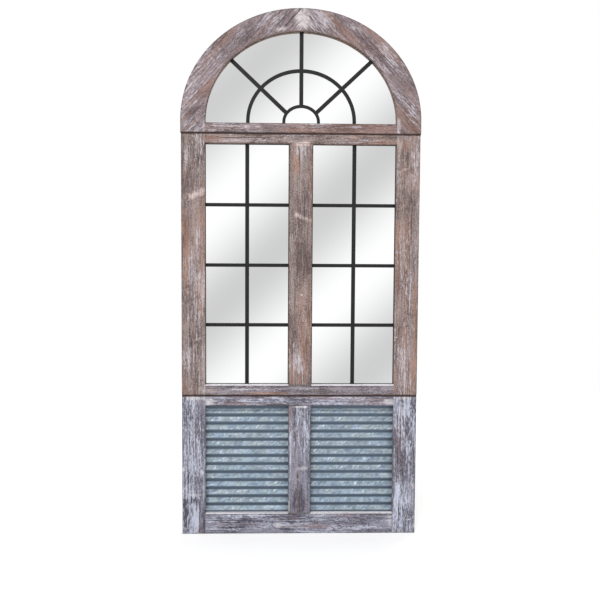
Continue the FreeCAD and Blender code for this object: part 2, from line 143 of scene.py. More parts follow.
def useGroup(tree, group, inputs):
    return addNode(tree, "ShaderNodeGroup", inputs, node_tree=group).outputs


def startMaterial(name):
    material = bpy.data.materials.new(name)
    material.use_nodes = True
    tree = material.node_tree
    shader = tree.nodes["Principled BSDF"]
    place = tree.nodes.new("ShaderNodeTexCoord").outputs["Object"]
    return material, tree, shader, place


def finishWith(shader, tree, color=None, roughness=None, height=None, depth=0.001, **settings):
    links = tree.links
    if color is not None:
        links.new(color, shader.inputs["Base Color"])
    if roughness is not None:
        links.new(roughness, shader.inputs["Roughness"])
    if height is not None:
        bump = addNode(tree, "ShaderNodeBump", {"Height": height, "Distance": depth})
        links.new(bump.outputs["Normal"], shader.inputs["Normal"])
    for label, value in settings.items():
        shader.inputs[label.replace("_", " ")].default_value = value


def paintNode(name, material):
    slots = nodes[name].data.materials
    slots.clear()
    slots.append(material)


# weathered wood

archShape = {"springing": 0.182, "halfWidth": 0.4085, "rise": 0.374, "thickness": 0.030,
             "foot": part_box("arch_left_board")[0].z}
softSpot = {
    "feather": ((130, 130, 11), 3.0, 0.6), "featherReach": 1.9,
    "blot": ((75, 75, 75), 4.0, 0.65), "blotReach": 1.3,
    "solid": 0.3, "faded": 1.15,  # in half widths from the centre
}
woodPattern = {  # counts per metre across, through and along the board; detail; roughness
    "band": ((26, 26, 1.2), 2.0, 0.55), "cloud": ((13, 13, 9), 2.0, 0.5),
    "lines": ((140, 140, 3.4), 3.0, 0.62), "fleck": ((240, 240, 26), 2.0, 0.6),
    "grit": ((270, 270, 190), 1.0, 0.6), "fibre": ((620, 620, 22), 2.0, 0.6),
    "wideStain": ((17, 17, 3.0), 3.0, 0.6), "fineStain": ((62, 62, 2.0), 2.0, 0.6),
    "pores": ((640, 640, 15), 1.0, 0.5), "checks": ((190, 190, 5.0), 2.0, 0.5),
    "patch": ((17, 17, 6.0), 4.0, 0.6), "streak": ((190, 190, 5.5), 2.0, 0.6),
    "speck": ((240, 240, 90), 2.0, 0.6), "scratch": ((390, 390, 44), 1.0, 0.5),
}
woodTone = {"band": 0.24, "cloud": 0.52, "lines": 0.44, "fleck": 0.46, "grit": 0.56, "fibre": 0.16}
washCover = {"patch": 0.52, "streak": 0.54, "speck": 0.44}
stainCover = {"wideStain": 1.25, "fineStain": 1.0}
# dents and knot hearts are the wood's own dark marks; the edge and seam colours are dirt and wear
# with a painted shade
woodDirtAndShade = {
    "dent": (0.035, 0.026, 0.024, 1.0), "knotHeart": (0.10, 0.062, 0.045, 1.0),
    "edge": (0.052, 0.036, 0.030, 1.0), "edgeWidth": 0.0032,
    "seam": (0.036, 0.018, 0.013, 1.0), "seamReach": 0.0036, "seamWander": 0.004,
}
bareWood = {
    "color": shade(126, 103, 85), "sillHighlight": shade(226, 224, 230),
    "ringDark": shade(84, 65, 52), "ringLight": shade(140, 114, 92), "ringWidth": 0.0034,
    "pith": (0.012, 0.055, 0.0),  # from the knot to the middle of the tree
}


def makeSpotGroup():
    # an oval patch, feathered along the fibres; Turn leans it from +X up towards +Z
    tree, entry, leave = startGroup(
        "softSpot",
        [("Place", "Vector"), ("Grain", "Vector"), ("Centre", "Vector"), ("Size", "Vector"),
         ("Turn", "Float")],
        [("Mask", "Float")])
    turned = addNode(tree, "ShaderNodeVectorRotate",
                     {"Vector": entry["Place"], "Center": entry["Centre"], "Angle": entry["Turn"]},
                     rotation_type="Y_AXIS").outputs[0]
    offset = calcVector(tree, "SUBTRACT", turned, entry["Centre"])
    far = calcVector(tree, "LENGTH", calcVector(tree, "DIVIDE", offset, entry["Size"]))
    feather = noise(tree, entry["Grain"], *softSpot["feather"])
    blot = noise(tree, entry["Place"], *softSpot["blot"])
    ragged = weigh(tree, (calc(tree, "SUBTRACT", feather, 0.5), softSpot["featherReach"]),
                   (calc(tree, "SUBTRACT", blot, 0.5), softSpot["blotReach"]))
    far = calc(tree, "ADD", far, ragged)
    tree.links.new(spread(tree, far, softSpot["solid"], softSpot["faded"], 1.0, 0.0), leave["Mask"])
    return tree


def roughenEdge(tree, place, distance, width):
    wander = cloud(tree, place, 110)
    width = calc(tree, "MULTIPLY", width, spread(tree, wander, 0.35, 0.7, 0.3, 1.7, "LINEAR"))
    return spread(tree, calc(tree, "DIVIDE", distance, width), 0.35, 1.0, 1.0, 0.0)


def makeBoxEdgeGroup():
    # marks the arrises of a straight board: worn wash and a painted shade on the rounded edge
    tree, entry, leave = startGroup(
        "boardEdge",
        [("Place", "Vector"), ("Centre", "Vector"), ("Half Size", "Vector"), ("Width", "Float")],
        [("Mask", "Float")])
    offset = calcVector(tree, "SUBTRACT", entry["Place"], entry["Centre"])
    inside = calcVector(tree, "SUBTRACT", entry["Half Size"], calcVector(tree, "ABSOLUTE", offset))
    parts = addNode(tree, "ShaderNodeSeparateXYZ", {0: inside}).outputs
    # the second nearest of the three faces tells how far the nearest edge is
    low = calc(tree, "MINIMUM", parts["X"], parts["Y"])
    high = calc(tree, "MAXIMUM", parts["X"], parts["Y"])
    middle = calc(tree, "MAXIMUM", low, calc(tree, "MINIMUM", high, parts["Z"]))
    tree.links.new(roughenEdge(tree, entry["Place"], middle, entry["Width"]), leave["Mask"])
    return tree


def makeArchEdgeGroup():
    # marks the arrises round the outside and at the feet of the arch boards: worn wash and a
    # painted shade on the rounded edge
    tree, entry, leave = startGroup("archEdge", [("Place", "Vector"), ("Width", "Float")],
                                    [("Mask", "Float")])
    parts = addNode(tree, "ShaderNodeSeparateXYZ", {0: entry["Place"]}).outputs
    above = calc(tree, "SUBTRACT", parts["Z"], archShape["springing"])
    across = calc(tree, "DIVIDE", calc(tree, "ABSOLUTE", parts["X"]), archShape["halfWidth"])
    up = calc(tree, "DIVIDE", calc(tree, "MAXIMUM", above, 0.0), archShape["rise"])
    reach = calc(tree, "SQRT", calc(tree, "ADD", calc(tree, "MULTIPLY", across, across),
                                    calc(tree, "MULTIPLY", up, up)))
    near = calc(tree, "MULTIPLY", calc(tree, "SUBTRACT", 1.0, reach), archShape["halfWidth"])
    near = calc(tree, "MINIMUM", near, calc(tree, "SUBTRACT", parts["Z"], archShape["foot"]))
    half = archShape["thickness"] / 2
    fromMiddle = calc(tree, "ABSOLUTE", calc(tree, "ADD", parts["Y"], half))
    near = calc(tree, "MAXIMUM", near, calc(tree, "SUBTRACT", half, fromMiddle))
    tree.links.new(roughenEdge(tree, entry["Place"], near, entry["Width"]), leave["Mask"])
    return tree


def partFibres(tree, entry):
    # fibres part round the knot and sway a little
    offset = calcVector(tree, "SUBTRACT", entry["Grain"], entry["Knot"])
    near = calcVector(tree, "MULTIPLY", offset, (1.0, 0.6, 0.4))
    ring = calc(tree, "DIVIDE", calcVector(tree, "LENGTH", near), entry["Knot Size"])
    core = calc(tree, "EXPONENT", calc(tree, "MULTIPLY", calc(tree, "MULTIPLY", ring, ring), -1.0))
    parting = calc(tree, "SUBTRACT", 1.0, calc(tree, "MULTIPLY", core, 0.85))
    squeezed = addNode(tree, "ShaderNodeCombineXYZ", {0: parting, 1: parting, 2: 1.0}).outputs[0]
    flow = calcVector(tree, "ADD", calcVector(tree, "MULTIPLY", offset, squeezed), entry["Knot"])
    sway = noise(tree, flow, (9, 9, 2.2), 1.0, 0.5, "Color")
    sway = calcVector(tree, "SUBTRACT", sway, (0.5, 0.5, 0.5))
    sway = calcVector(tree, "MULTIPLY", sway, (0.012, 0.012, 0.0))
    return offset, ring, calcVector(tree, "ADD", flow, sway)


def swingOf(tree, pattern, weights):
    return swing(tree, *((pattern[name], weight) for name, weight in weights.items()))


def dimmed(tree, tone, color, low, high):
    # a layer's colour, darker where the wood under it is dark
    level = spread(tree, tone, 0.0, 1.0, low, high, "LINEAR")
    grey = addNode(tree, "ShaderNodeCombineColor", {0: level, 1: level, 2: level}).outputs[0]
    return blendColors(tree, 1.0, color, grey, "MULTIPLY")


def stainWood(tree, entry, pattern, tone):
    color = blendColors(tree, tone, entry["Dark"], entry["Light"])
    stain = calc(tree, "ADD", swingOf(tree, pattern, stainCover), entry["Tint Amount"])
    stain = spread(tree, stain, 0.44, 0.74, 0.0, 0.8)
    return blendColors(tree, stain, color, dimmed(tree, tone, entry["Tint"], 0.66, 1.3))


def brushWhitewash(tree, entry, pattern, tone, dents, edge, color):
    # dry-brushed patches, streaks and bare specks, then fine scratches of the same wash
    cover = widen(tree, swingOf(tree, pattern, washCover), entry["Contrast"])
    wash = spread(tree, calc(tree, "ADD", cover, entry["Wash Amount"]), 0.50, 0.70, 0.0, 0.9)
    wash = calc(tree, "MULTIPLY", wash, calc(tree, "MULTIPLY_ADD", dents, -0.7, 1.0))
    wash = calc(tree, "MULTIPLY", wash, calc(tree, "MULTIPLY_ADD", edge, -0.8, 1.0))
    color = blendColors(tree, wash, color, dimmed(tree, tone, entry["Wash"], 0.88, 1.08))
    scratch = spread(tree, pattern["scratch"], 0.57, 0.66)
    where = calc(tree, "ADD", pattern["patch"], entry["Wash Amount"])
    scratch = calc(tree, "MULTIPLY", scratch, spread(tree, where, 0.42, 0.62, 0.1, 0.85))
    return wash, blendColors(tree, scratch, color, entry["Wash"])


def rubFiller(tree, entry, pattern, tone, color):
    # filler that was wiped over joints and knots, then rubbed back
    rubbed = calc(tree, "ADD", pattern["speck"], pattern["streak"])
    rubbed = spread(tree, rubbed, 0.8, 1.1, 0.5, 1.0)
    filler = calc(tree, "MULTIPLY", entry["Filler Amount"], rubbed)
    return filler, blendColors(tree, filler, color, dimmed(tree, tone, entry["Filler"], 0.85, 1.06))


def addDirtAndShadedEdges(tree, dents, ring, edge, color):
    color = blendColors(tree, calc(tree, "MULTIPLY", dents, 0.6), color, woodDirtAndShade["dent"])
    heart = spread(tree, ring, 0.25, 0.6, 0.75, 0.0)
    color = blendColors(tree, heart, color, woodDirtAndShade["knotHeart"])
    # the arrises darken: worn wash and a painted shade on the rounded edges
    return blendColors(tree, calc(tree, "MULTIPLY", edge, 0.7), color, woodDirtAndShade["edge"])


def coverSides(tree, entry, pattern, tone, offset, color):
    # plain stain on the sides and back, dirt and painted shade along the seams, rings on the sawn
    # ends, a painted highlight on the sills' up-facing faces
    facing = addNode(tree, "ShaderNodeSeparateXYZ", {0: entry["Facing"]}).outputs
    plain = dimmed(tree, tone, bareWood["color"], 0.55, 1.35)
    color = blendColors(tree, spread(tree, facing["Y"], -0.6, 0.4), color, plain)
    # the seams' dark line is dirt with a painted shade where the frames meet
    color = blendColors(tree, calc(tree, "MULTIPLY", entry["Seam"], 0.88), color, woodDirtAndShade["seam"])

    around = calcVector(tree, "MULTIPLY", offset, (1.0, 1.0, 0.0))
    around = calcVector(tree, "LENGTH", calcVector(tree, "ADD", around, bareWood["pith"]))
    around = calc(tree, "MULTIPLY_ADD", pattern["band"], 0.02, around)
    turns = calc(tree, "MULTIPLY", around, 2 * math.pi / bareWood["ringWidth"])
    rings = spread(tree, calc(tree, "SINE", turns), -1.0, 1.0)
    ends = blendColors(tree, rings, bareWood["ringDark"], bareWood["ringLight"])
    along = calcVector(tree, "DOT_PRODUCT", entry["Facing"], entry["Fibre"])
    sawn = spread(tree, calc(tree, "ABSOLUTE", along), 0.72, 0.9, 0.0, 0.85)
    color = blendColors(tree, sawn, color, ends)

    # painted highlight: the up-facing faces of the sill rails are painted pale
    sillHighlight = calc(tree, "MULTIPLY", spread(tree, facing["Z"], 0.3, 0.6), entry["Ledge"])
    sillHighlight = calc(tree, "MULTIPLY", sillHighlight, spread(tree, pattern["speck"], 0.3, 0.5, 0.6, 1.0))
    return blendColors(tree, sillHighlight, color, dimmed(tree, tone, bareWood["sillHighlight"], 0.9, 1.05))


def makeWoodGroup():
    # Grain is a place whose Z runs along the board's fibres
    tree, entry, leave = startGroup(
        "weatheredWood",
        [("Grain", "Vector"), ("Knot", "Vector"), ("Knot Size", "Float"), ("Fibre", "Vector"),
         ("Facing", "Vector"), ("Dark", "Color"), ("Light", "Color"), ("Tint", "Color"),
         ("Wash", "Color"), ("Filler", "Color"), ("Tint Amount", "Float"), ("Wash Amount", "Float"),
         ("Shade Amount", "Float"), ("Filler Amount", "Float"), ("Contrast", "Float"),
         ("Edge", "Float"), ("Seam", "Float"), ("Ledge", "Float")],
        [("Color", "Color"), ("Roughness", "Float"), ("Height", "Float")])
    offset, ring, flow = partFibres(tree, entry)
    pattern = {name: noise(tree, flow, *values) for name, values in woodPattern.items()}

    tone = swingOf(tree, pattern, woodTone)
    tone = calc(tree, "MULTIPLY_ADD", entry["Shade Amount"], -0.18, tone)
    tone = spread(tree, widen(tree, tone, entry["Contrast"]), 0.34, 0.66, kind="LINEAR")

    # pores and short checks; filler hides the worn edge and its painted shade
    pores = spread(tree, pattern["pores"], 0.60, 0.72)
    checks = spread(tree, pattern["checks"], 0.64, 0.70)
    dents = calc(tree, "MAXIMUM", calc(tree, "MULTIPLY", pores, 0.45), checks)
    bare = calc(tree, "MULTIPLY_ADD", entry["Filler Amount"], -0.9, 1.0)
    edge = calc(tree, "MULTIPLY", entry["Edge"], calc(tree, "MAXIMUM", bare, 0.0))

    color = stainWood(tree, entry, pattern, tone)
    wash, color = brushWhitewash(tree, entry, pattern, tone, dents, edge, color)
    filler, color = rubFiller(tree, entry, pattern, tone, color)
    color = addDirtAndShadedEdges(tree, dents, ring, edge, color)
    color = coverSides(tree, entry, pattern, tone, offset, color)

    height = weigh(tree, (pattern["lines"], 0.45), (pattern["fleck"], 0.3), (pattern["fibre"], 0.3),
                   (wash, 0.2), (filler, 0.5), (dents, -0.9))
    tree.links.new(color, leave["Color"])
    tree.links.new(spread(tree, wash, 0.0, 1.0, 0.74, 0.9, "LINEAR"), leave["Roughness"])
    tree.links.new(height, leave["Height"])
    return tree


spotGroup = makeSpotGroup()
boxEdgeGroup = makeBoxEdgeGroup()
archEdgeGroup = makeArchEdgeGroup()
woodGroup = makeWoodGroup()

archWood = {
    "dark": shade(92, 79, 82), "light": shade(160, 143, 146), "tint": shade(142, 112, 103),
    "wash": shade(204, 198, 206), "filler": shade(220, 210, 212),
    "contrast": 0.92, "bumpDepth": 0.0009,
}
middleWood = {
    "dark": shade(98, 83, 80), "light": shade(164, 147, 143), "tint": shade(154, 120, 106),
    "wash": shade(202, 194, 200), "filler": shade(220, 199, 194),
    "contrast": 1.05, "bumpDepth": 0.0009,
}
lowerWood = {
    "dark": shade(84, 80, 92), "light": shade(152, 151, 166), "tint": shade(142, 124, 126),
    "wash": shade(207, 211, 228), "filler": shade(222, 218, 222),
    "contrast": 1.12, "bumpDepth": 0.0010,
}
streakyWood = dict(middleWood, contrast=1.4)
greyedWood = dict(middleWood, dark=shade(88, 78, 81), light=shade(152, 144, 150),
                  wash=shade(200, 196, 206), contrast=1.5)
streakyLowerWood = dict(lowerWood, contrast=1.4)

# grain: the fibres' angle up from +X, in degrees; knot: x, z and size in mm;
# spots: what, x, z, half width, half height in mm, lean in degrees, strength
boards = {
    "arch_left_board": {
        "wood": archWood, "grain": 47, "tint": -0.03, "wash": 0.0, "knot": (-392, 290, 12),
        "spots": [("filler", -3, 520, 22, 40, 0, 1.0), ("filler", -70, 485, 24, 7, 12, 0.75),
                  ("tint", -70, 484, 34, 12, 12, 0.2), ("shade", -187, 464, 50, 22, 40, 0.5),
                  ("wash", -117, 515, 50, 20, 20, 0.08), ("wash", -284, 388, 50, 30, 47, 0.07),
                  ("tint", -318, 304, 40, 20, 47, 0.12), ("wash", -342, 241, 26, 16, 47, 0.09),
                  ("shade", -362, 212, 36, 8, 30, 0.5), ("wash", -328, 160, 8, 20, 0, 0.1)]},
    "arch_right_board": {
        "wood": archWood, "grain": -47, "tint": -0.02, "wash": -0.03, "knot": (186, 484, 9),
        "spots": [("filler", 8, 520, 20, 40, 0, 1.0), ("wash", 78, 526, 60, 26, -20, 0.08),
                  ("filler", 188, 487, 26, 9, -20, 0.5), ("tint", 223, 480, 12, 8, 0, 0.2),
                  ("wash", 292, 401, 60, 30, -47, 0.08), ("tint", 200, 430, 70, 16, -35, 0.12),
                  ("tint", 372, 192, 50, 64, 0, 0.24), ("shade", 380, 190, 44, 56, 0, 0.9),
                  ("filler", 330, 165, 10, 30, 0, 0.7)]},
    "arch_rail": {
        "wood": archWood, "grain": 0, "tint": 0.22, "wash": -0.06, "knot": (-120, 157, 7),
        "spots": [("filler", -184, 160, 15, 7, 0, 0.8), ("filler", -146, 161, 15, 5, 0, 0.7),
                  ("wash", 176, 162, 50, 8, 0, 0.12), ("shade", 60, 150, 120, 10, 0, 0.4),
                  ("wash", -265, 164, 50, 7, 0, 0.06)]},
    "middle_left_stile": {
        "wood": middleWood, "grain": 90, "tint": -0.02, "wash": -0.022, "knot": (-384, -78, 9),
        "spots": [("wash", -388, 50, 13, 74, 0, 0.12), ("tint", -362, -28, 36, 30, 0, 0.14),
                  ("filler", -352, -66, 44, 13, 22, 0.95), ("tint", -391, -262, 15, 200, 0, 0.36),
                  ("wash", -353, -222, 11, 66, 0, 0.14), ("wash", -346, -330, 14, 60, 0, 0.05),
                  ("wash", -388, -610, 18, 70, 0, 0.1), ("shade", -372, -430, 30, 90, 0, 0.4),
                  ("filler", -345, -560, 26, 6, 20, 0.4)]},
    "middle_right_stile": {
        "wood": middleWood, "grain": 90, "tint": 0.0, "wash": -0.018, "knot": (364, -330, 8),
        "spots": [("tint", 358, 98, 15, 28, 0, 0.35), ("filler", 332, 108, 13, 28, 0, 0.6),
                  ("wash", 334, 26, 12, 60, 0, 0.09), ("wash", 384, 40, 14, 90, 0, 0.08),
                  ("tint", 350, 30, 9, 60, 0, 0.16), ("tint", 362, -180, 30, 130, 0, 0.06),
                  ("filler", 352, 20, 22, 5, 25, 0.4), ("tint", 362, -328, 14, 12, 0, 0.2),
                  ("filler", 332, -554, 9, 3, 0, 1.0), ("wash", 346, -600, 22, 80, 0, 0.06),
                  ("shade", 372, -420, 26, 90, 0, 0.3)]},
    "middle_centre_stile": {
        "wood": middleWood, "grain": 90, "tint": -0.04, "wash": -0.075, "knot": (-8, -236, 9),
        "spots": [("filler", 2, 102, 40, 5, 0, 1.0), ("wash", -2, 78, 34, 34, 0, 0.13),
                  ("tint", 35, -10, 8, 140, 0, 0.4), ("tint", -10, 30, 14, 40, 0, 0.2),
                  ("filler", 2, -142, 38, 10, -20, 0.8), ("wash", -12, -186, 22, 36, 0, 0.13),
                  ("shade", 4, -300, 36, 80, 0, 0.6), ("filler", 5, -408, 4, 4, 0, 1.0),
                  ("tint", 30, -470, 10, 120, 0, 0.2), ("wash", -12, -650, 26, 56, 0, 0.12)]},
    "middle_top_rail": {
        "wood": streakyWood, "grain": 0, "tint": 0.0, "wash": -0.09, "knot": (90, 124, 5),
        "spots": [("filler", 2, 108, 44, 6, 5, 1.0), ("wash", -112, 120, 66, 12, 0, 0.12),
                  ("tint", 176, 126, 26, 9, 0, 0.3), ("wash", -250, 118, 40, 10, 0, 0.05),
                  ("wash", 240, 116, 50, 8, 0, 0.08)]},
    "middle_bottom_rail": {
        "wood": greyedWood, "grain": 0, "tint": -0.14, "wash": -0.13, "knot": (130, -742, 5),
        "spots": [("filler", -308, -742, 24, 10, 0, 0.4), ("shade", 0, -745, 60, 12, 0, 0.5),
                  ("tint", -120, -750, 110, 6, 0, 0.24), ("wash", -200, -737, 60, 5, 0, 0.13),
                  ("wash", 40, -735, 60, 5, 0, 0.12), ("wash", 310, -735, 18, 8, 0, 0.12)]},
    "lower_left_stile": {
        "wood": lowerWood, "grain": 90, "tint": -0.08, "wash": 0.04, "knot": (-350, -884, 6),
        "spots": [("filler", -364, -767, 40, 13, 0, 0.9), ("filler", -336, -1030, 8, 14, 0, 0.9),
                  ("filler", -400, -1015, 4, 12, 0, 0.8), ("filler", -335, -878, 5, 8, 0, 0.7),
                  ("filler", -362, -1107, 36, 4, 0, 0.65), ("shade", -392, -1180, 17, 72, 0, 1.7),
                  ("wash", -394, -1178, 15, 68, 0, -0.13), ("wash", -358, -1192, 14, 50, 0, 0.22),
                  ("shade", -372, -1128, 36, 13, 0, 1.3), ("wash", -372, -1128, 36, 13, 0, -0.1),
                  ("wash", -331, -1180, 7, 60, 0, -0.12), ("wash", -352, -860, 14, 90, 0, 0.06),
                  ("shade", -368, -1050, 26, 30, 0, 0.5)]},
    "lower_right_stile": {
        "wood": lowerWood, "grain": 90, "tint": -0.09, "wash": 0.045, "knot": (374, -1192, 6),
        "spots": [("filler", 362, -766, 38, 8, 0, 0.8), ("wash", 362, -806, 36, 36, 0, 0.10),
                  ("wash", 345, -1110, 14, 50, 0, 0.12), ("shade", 372, -1180, 36, 50, 0, 0.7),
                  ("filler", 385, -1197, 9, 3, 0, 1.0), ("filler", 398, -1075, 6, 16, 20, 0.7),
                  ("shade", 384, -960, 20, 60, 0, 0.5)]},
    "lower_centre_stile": {
        "wood": lowerWood, "grain": 90, "tint": 0.0, "wash": -0.09, "knot": (-6, -1040, 8),
        "spots": [("filler", 3, -797, 38, 5, 0, 1.0), ("wash", 31, -870, 9, 90, 0, 0.12),
                  ("wash", -31, -900, 9, 120, 0, 0.1), ("tint", 3, -885, 14, 50, 0, 0.18),
                  ("filler", 10, -1014, 24, 8, 8, 0.6), ("shade", -4, -1125, 26, 50, 0, 1.1),
                  ("tint", 28, -1150, 10, 50, 0, 0.2), ("filler", -35, -1150, 4, 30, 0, 0.6),
                  ("wash", 0, -820, 30, 26, 0, 0.08)]},
    "lower_top_rail": {
        "wood": lowerWood, "grain": 0, "tint": -0.03, "wash": 0.02, "knot": (40, -776, 5),
        "spots": [("filler", -310, -778, 20, 15, 30, 0.95), ("filler", 310, -779, 22, 11, 0, 0.8),
                  ("shade", 18, -774, 60, 16, 0, 0.9), ("tint", -90, -768, 120, 8, 0, 0.14),
                  ("wash", -200, -778, 60, 8, 0, 0.06)]},
    "lower_bottom_rail": {
        "wood": streakyLowerWood, "grain": 0, "tint": -0.06, "wash": -0.035, "knot": (60, -1208, 7),
        "spots": [("wash", -190, -1184, 110, 7, 0, 0.15), ("shade", -190, -1202, 120, 7, 0, 0.8),
                  ("wash", -190, -1231, 120, 8, 0, 0.13), ("filler", -74, -1215, 16, 12, 0, 0.6),
                  ("tint", -20, -1200, 30, 16, 0, 0.2), ("filler", 318, -1198, 8, 30, 0, 0.6),
                  ("shade", 10, -1190, 50, 14, 0, 0.8), ("wash", 200, -1225, 90, 8, 0, 0.12)]},
}
sillChamfer = {"middle_bottom_rail": 0.003, "lower_bottom_rail": 0.003}
upperSeam = (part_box("arch_rail")[0].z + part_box("middle_top_rail")[1].z) / 2
lowerSeam = (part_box("middle_bottom_rail")[0].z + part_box("lower_top_rail")[1].z) / 2
seamsOf = {"arch": (upperSeam,), "middle": (upperSeam, lowerSeam), "lower": (lowerSeam,)}
buttMargin = 0.02  # pushes the worn edge off the sides where boards butt


def seamDirtAndShade(tree, place, name):
    # dirt and painted shade that lie along the seams between the three frames
    height = addNode(tree, "ShaderNodeSeparateXYZ", {0: place}).outputs["Z"]
    far = [calc(tree, "ABSOLUTE", calc(tree, "SUBTRACT", height, seam))
           for seam in seamsOf[name.split("_")[0]]]
    near = far[0] if len(far) == 1 else calc(tree, "MINIMUM", *far)
    near = calc(tree, "MULTIPLY_ADD", cloud(tree, place, 45), -woodDirtAndShade["seamWander"], near)
    return spread(tree, near, 0.0001, woodDirtAndShade["seamReach"], 1.0, 0.0)


def makeBoardMaterial(name, board, seed):
    material, tree, shader, place = startMaterial("wood_" + name)
    wood = board["wood"]
    low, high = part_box(name)
    turn = Euler((0, math.radians(board["grain"] - 90), 0))
    # each board gets its own stretch of the pattern
    shift = Vector((1.7 * seed, 0.9 * seed, 2.3 * seed))
    grain = addNode(tree, "ShaderNodeMapping",
                    {"Vector": place, "Rotation": turn, "Location": shift}).outputs[0]
    knotX, knotZ, knotSize = (size / 1000 for size in board["knot"])
    knot = turn.to_matrix() @ Vector((knotX, low.y, knotZ)) + shift
    fibre = turn.to_matrix().inverted() @ Vector((0, 0, 1))

    amounts = {"wash": board["wash"], "tint": board["tint"], "shade": 0.0, "filler": 0.0}
    for kind, x, z, halfWidth, halfHeight, lean, strength in board["spots"]:
        inputs = {"Place": place, "Grain": grain, "Centre": Vector((x, 0, z)) / 1000,
                  "Size": Vector((halfWidth, 1000, halfHeight)) / 1000, "Turn": math.radians(lean)}
        mask = useGroup(tree, spotGroup, inputs)["Mask"]
        amounts[kind] = calc(tree, "MULTIPLY_ADD", mask, strength, amounts[kind])

    if name in ("arch_left_board", "arch_right_board"):
        edge = useGroup(tree, archEdgeGroup, {
            "Place": place, "Width": woodDirtAndShade["edgeWidth"]})["Mask"]
    else:
        # under an opening the dark line of worn wood and painted shade runs along the foot of the
        # sill's chamfer
        high.z -= sillChamfer.get(name, 0.0)
        if name.endswith("_rail"):
            low.x -= buttMargin
            high.x += buttMargin
        elif name.endswith("_left_stile"):
            high.x += buttMargin
        elif name.endswith("_right_stile"):
            low.x -= buttMargin
        edge = useGroup(tree, boxEdgeGroup, {
            "Place": place, "Centre": (low + high) / 2, "Half Size": (high - low) / 2,
            "Width": woodDirtAndShade["edgeWidth"]})["Mask"]
    made = useGroup(tree, woodGroup, {
        "Grain": grain, "Knot": knot, "Knot Size": knotSize, "Fibre": fibre,
        "Facing": tree.nodes.new("ShaderNodeTexCoord").outputs["Normal"],
        "Dark": wood["dark"], "Light": wood["light"], "Tint": wood["tint"], "Wash": wood["wash"],
        "Filler": wood["filler"], "Tint Amount": amounts["tint"], "Wash Amount": amounts["wash"],
        "Shade Amount": amounts["shade"], "Filler Amount": amounts["filler"],
        "Contrast": wood["contrast"], "Edge": edge, "Seam": seamDirtAndShade(tree, place, name),
        "Ledge": 1.0 if name in sillChamfer else 0.0})
    finishWith(shader, tree, made["Color"], made["Roughness"], made["Height"], wood["bumpDepth"],
               Specular_IOR_Level=0.3)
    return material


for seed, (name, board) in enumerate(boards.items(), 1):
    paintNode(name, makeBoardMaterial(name, board, seed))
print("painted the boards")


# black bars

blackBar = {"color": shade(24, 24, 26), "worn": shade(44, 42, 41), "roughness": 0.5,
            "gritDepth": 0.00008}


def makeBarMaterial():
    material, tree, shader, place = startMaterial("blackBar")
    grit = noise(tree, place, (900, 900, 900), 2.0, 0.5)
    worn = spread(tree, cloud(tree, place, 40), 0.45, 0.75, 0.0, 0.35)
    color = blendColors(tree, worn, blackBar["color"], blackBar["worn"])
    satin = blackBar["roughness"]
    roughness = spread(tree, grit, 0.3, 0.7, satin - 0.08, satin + 0.14)
    finishWith(shader, tree, color, roughness, grit, blackBar["gritDepth"], Specular_IOR_Level=0.25)
    return material


barMaterial = makeBarMaterial()
for name in nodes:
    if name.startswith("fan_") or name.endswith(("_uprights", "_crossbars")):
        paintNode(name, barMaterial)


# mirrors

mirrorGlass = {"color": (0.97, 0.975, 0.975, 1.0), "clear": 0.004, "hazy": 0.024}


def makeMirrorMaterial():
    material, tree, shader, place = startMaterial("mirrorGlass")
    haze = cloud(tree, place, 7)
    roughness = spread(tree, haze, 0.4, 0.8, mirrorGlass["clear"], mirrorGlass["hazy"])
    finishWith(shader, tree, None, roughness, None, Metallic=1.0, Base_Color=mirrorGlass["color"])
    return material


mirrorMaterial = makeMirrorMaterial()
for name in ("arch_mirror", "left_mirror", "right_mirror"):
    paintNode(name, mirrorMaterial)


# corrugated galvanised sheet

zincSheet = {
    "bright": shade(172, 187, 199), "dull": shade(110, 126, 139),
    "underShade": shade(94, 108, 122), "fleck": shade(226, 232, 234),
    "warm": (1.06, 1.02, 0.94, 1.0), "cool": (0.94, 0.97, 1.06, 1.0),
    "lean": 0.55, "flakes": 82.0, "flakeDepth": 0.0002,
}


